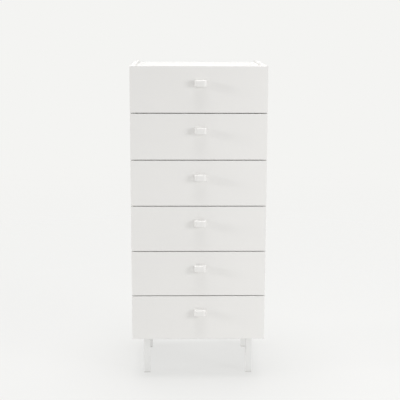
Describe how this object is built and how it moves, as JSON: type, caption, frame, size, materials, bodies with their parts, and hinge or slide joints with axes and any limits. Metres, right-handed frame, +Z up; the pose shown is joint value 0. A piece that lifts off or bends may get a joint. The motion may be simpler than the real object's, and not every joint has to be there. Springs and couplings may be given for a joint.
{
  "type": "tall chest of drawers",
  "caption": "Tall narrow chest of drawers: slab fronts with small tab pulls over the whole front, on a low square-tube base.",
  "frame": {"origin": "on the floor, under the centre of the whole outline, pulls included, with the drawers closed", "axes": "+Z up, -Y the way the drawers open, +X to the right of someone facing them"},
  "size_m": [0.508, 0.481, 1.207],
  "materials": {
    "lacquer": "white satin lacquer on board",
    "back_sheet": "white-faced thin board",
    "plywood": "clear-lacquered birch plywood",
    "powder_coat": "white powder coat on square steel tube",
    "slide_enamel": "white epoxy on folded steel",
    "glide_plastic": "moulded, pale grey",
    "roller_nylon": "moulded white nylon",
    "zinc_screw": "zinc plated",
    "bumper": "soft, translucent"
  },
  "bodies": {
    "case": {"side_panel_left": "lacquer", "side_panel_right": "lacquer", "top_panel": "lacquer", "bottom_panel": "lacquer", "back_panel": "back_sheet", "base_frame": "powder_coat", "glide_front_left": "glide_plastic", "glide_front_right": "glide_plastic", "glide_back_left": "glide_plastic", "glide_back_right": "glide_plastic", "rail_1_left": "slide_enamel", "rail_1_right": "slide_enamel", "rail_2_left": "slide_enamel", "rail_2_right": "slide_enamel", "rail_3_left": "slide_enamel", "rail_3_right": "slide_enamel", "rail_4_left": "slide_enamel", "rail_4_right": "slide_enamel", "rail_5_left": "slide_enamel", "rail_5_right": "slide_enamel", "rail_6_left": "slide_enamel", "rail_6_right": "slide_enamel"},
    "drawer_1": {"drawer_1_front": "lacquer", "drawer_1_pull": "lacquer", "drawer_1_box": "plywood", "drawer_1_bottom": "plywood", "drawer_1_runner_left": "slide_enamel", "drawer_1_runner_right": "slide_enamel"},
    "drawer_2": {"drawer_2_front": "lacquer", "drawer_2_pull": "lacquer", "drawer_2_box": "plywood", "drawer_2_bottom": "plywood", "drawer_2_runner_left": "slide_enamel", "drawer_2_runner_right": "slide_enamel"},
    "drawer_3": {"drawer_3_front": "lacquer", "drawer_3_pull": "lacquer", "drawer_3_box": "plywood", "drawer_3_bottom": "plywood", "drawer_3_runner_left": "slide_enamel", "drawer_3_runner_right": "slide_enamel"},
    "drawer_4": {"drawer_4_front": "lacquer", "drawer_4_pull": "lacquer", "drawer_4_box": "plywood", "drawer_4_bottom": "plywood", "drawer_4_runner_left": "slide_enamel", "drawer_4_runner_right": "slide_enamel"},
    "drawer_5": {"drawer_5_front": "lacquer", "drawer_5_pull": "lacquer", "drawer_5_box": "plywood", "drawer_5_bottom": "plywood", "drawer_5_runner_left": "slide_enamel", "drawer_5_runner_right": "slide_enamel"},
    "drawer_6": {"drawer_6_front": "lacquer", "drawer_6_pull": "lacquer", "drawer_6_box": "plywood", "drawer_6_bottom": "plywood", "drawer_6_runner_left": "slide_enamel", "drawer_6_runner_right": "slide_enamel"}
  },
  "joints": [
    {"name": "drawer_1_slide", "type": "slide", "parent": "case", "child": "drawer_1", "axis": [0, -1, 0], "range_m": [0, 0.3]},
    {"name": "drawer_2_slide", "type": "slide", "parent": "case", "child": "drawer_2", "axis": [0, -1, 0], "range_m": [0, 0.3]},
    {"name": "drawer_3_slide", "type": "slide", "parent": "case", "child": "drawer_3", "axis": [0, -1, 0], "range_m": [0, 0.3]},
    {"name": "drawer_4_slide", "type": "slide", "parent": "case", "child": "drawer_4", "axis": [0, -1, 0], "range_m": [0, 0.3]},
    {"name": "drawer_5_slide", "type": "slide", "parent": "case", "child": "drawer_5", "axis": [0, -1, 0], "range_m": [0, 0.3]},
    {"name": "drawer_6_slide", "type": "slide", "parent": "case", "child": "drawer_6", "axis": [0, -1, 0], "range_m": [0, 0.3]}
  ]
}
